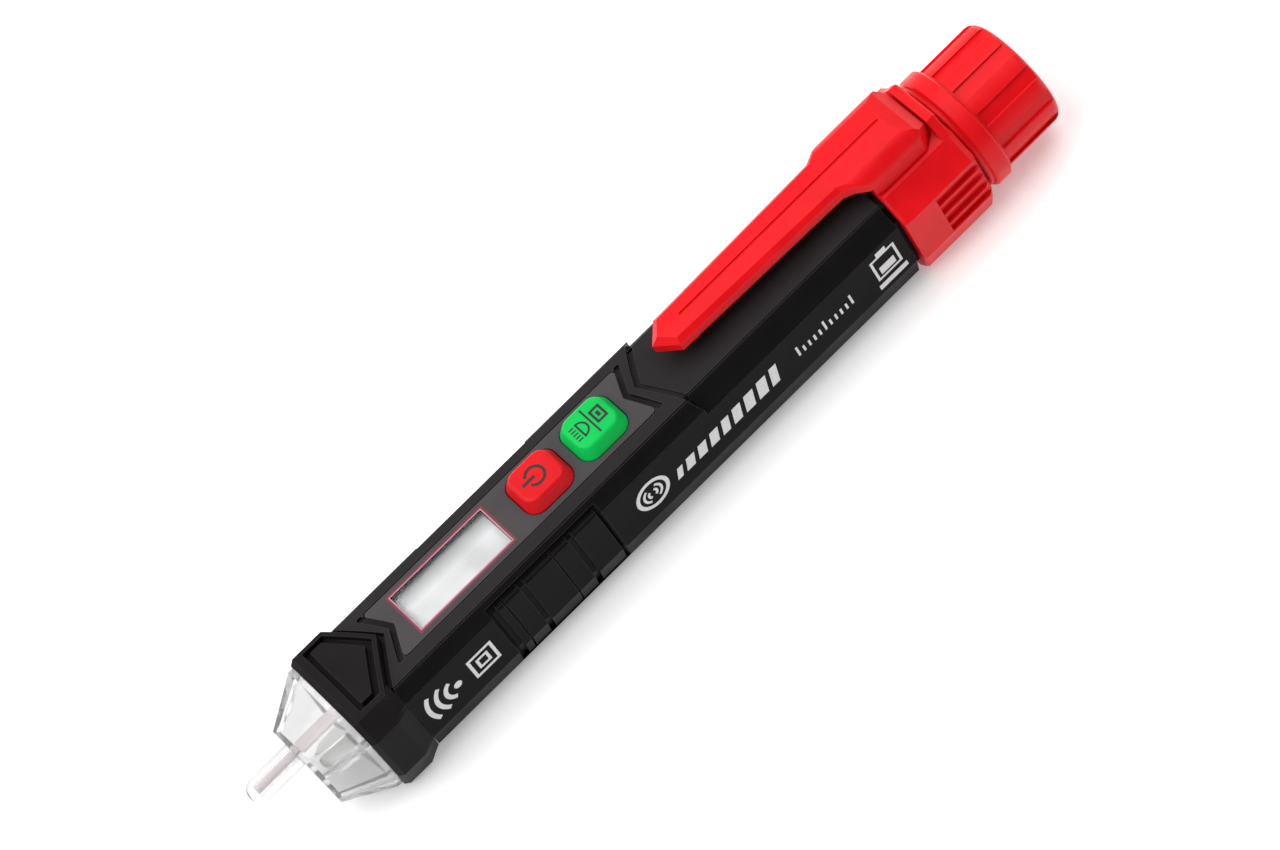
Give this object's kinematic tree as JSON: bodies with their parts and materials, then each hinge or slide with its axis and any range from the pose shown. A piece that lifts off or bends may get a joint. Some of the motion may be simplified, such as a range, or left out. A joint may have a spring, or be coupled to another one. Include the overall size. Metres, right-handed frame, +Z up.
{
  "type": "non-contact voltage tester",
  "caption": "Pen-shaped non-contact voltage tester with display, torch lens, red and green keys, pocket clip and screw-off battery cap.",
  "frame": {"origin": "under the middle of the tester, on the surface that it lies on with its display face up", "axes": "+X runs from the probe tip to the battery cap, +Z up out of the display face, +Y across the body"},
  "size_m": [0.16, 0.0214, 0.0269],
  "materials": {
    "black_shell": "fine moulded texture",
    "face_grey": "satin",
    "red_plastic": "smooth moulded",
    "green_plastic": "smooth moulded",
    "clear_plastic": "polished clear",
    "white_plastic": "satin",
    "lcd": "polished",
    "circuit_board": "solder mask",
    "black_component": "moulded",
    "spring_steel": "nickel plated",
    "steel": "machined",
    "antenna_metal": "rolled strip",
    "cell_sleeve": "plain printed sleeve",
    "seal_rubber": "matt",
    "led_epoxy": "clear epoxy"
  },
  "bodies": {
    "housing": {"lower_housing": "black_shell", "upper_housing": "black_shell", "front_bezel": "black_shell", "face_panel": "face_grey", "lcd_window": "clear_plastic", "lcd_glass": "lcd", "lcd_backlight": "white_plastic", "power_switch": "black_component", "mode_switch": "black_component", "probe_lens": "clear_plastic", "lens_reflector": "white_plastic", "sensor_antenna": "antenna_metal", "torch_led": "led_epoxy", "torch_led_legs": "spring_steel", "clip_collar": "red_plastic", "front_cell": "cell_sleeve", "rear_cell": "cell_sleeve", "battery_cradle": "black_component", "front_contact": "spring_steel", "battery_strap": "spring_steel", "tail_contact_ring": "spring_steel", "main_board": "circuit_board", "board_screws": "steel", "board_parts": "black_component", "alarm_leds": "led_epoxy"},
    "power_key": {"power_button": "red_plastic"},
    "power_plunger": {"power_switch_plunger": "white_plastic"},
    "mode_key": {"mode_button": "green_plastic"},
    "mode_plunger": {"mode_switch_plunger": "white_plastic"},
    "clip": {"pocket_clip": "red_plastic"},
    "cap": {"battery_cap": "red_plastic", "cap_contact_cup": "spring_steel", "cap_spring": "spring_steel"},
    "seal_carrier": {"cap_seal": "seal_rubber"}
  },
  "joints": [
    {"name": "power_press", "type": "slide", "parent": "housing", "child": "power_key", "axis": [0, 0, -1], "range_m": [0, 0.0005], "stiffness_N_per_m": 3000, "springref_m": -0.0001},
    {"name": "power_plunger_press", "type": "slide", "parent": "housing", "child": "power_plunger", "axis": [0, 0, -1], "range_m": [0, 0.0005]},
    {"name": "mode_press", "type": "slide", "parent": "housing", "child": "mode_key", "axis": [0, 0, -1], "range_m": [0, 0.0005], "stiffness_N_per_m": 3000, "springref_m": -0.0001},
    {"name": "mode_plunger_press", "type": "slide", "parent": "housing", "child": "mode_plunger", "axis": [0, 0, -1], "range_m": [0, 0.0005]},
    {"name": "clip_lift", "type": "hinge", "parent": "housing", "child": "clip", "pos_m": [0.0614, 0, 0.02075], "axis": [0, 1, 0], "range_deg": [0, 5], "stiffness_Nm_per_rad": 3.5, "springref_deg": -0.57},
    {"name": "cap_travel", "type": "slide", "parent": "housing", "child": "seal_carrier", "axis": [1, 0, 0], "range_m": [0, 0.0076]},
    {"name": "cap_unscrew", "type": "hinge", "parent": "seal_carrier", "child": "cap", "pos_m": [0.07, 0, 0.0107], "axis": [1, 0, 0], "range_deg": [0, 1080]}
  ],
  "couplings": [
    {"joint": "power_plunger_press", "follows": "power_press", "ratio": 1},
    {"joint": "mode_plunger_press", "follows": "mode_press", "ratio": 1},
    {"joint": "cap_travel", "follows": "cap_unscrew", "m_per_rad": 0.00039789}
  ]
}
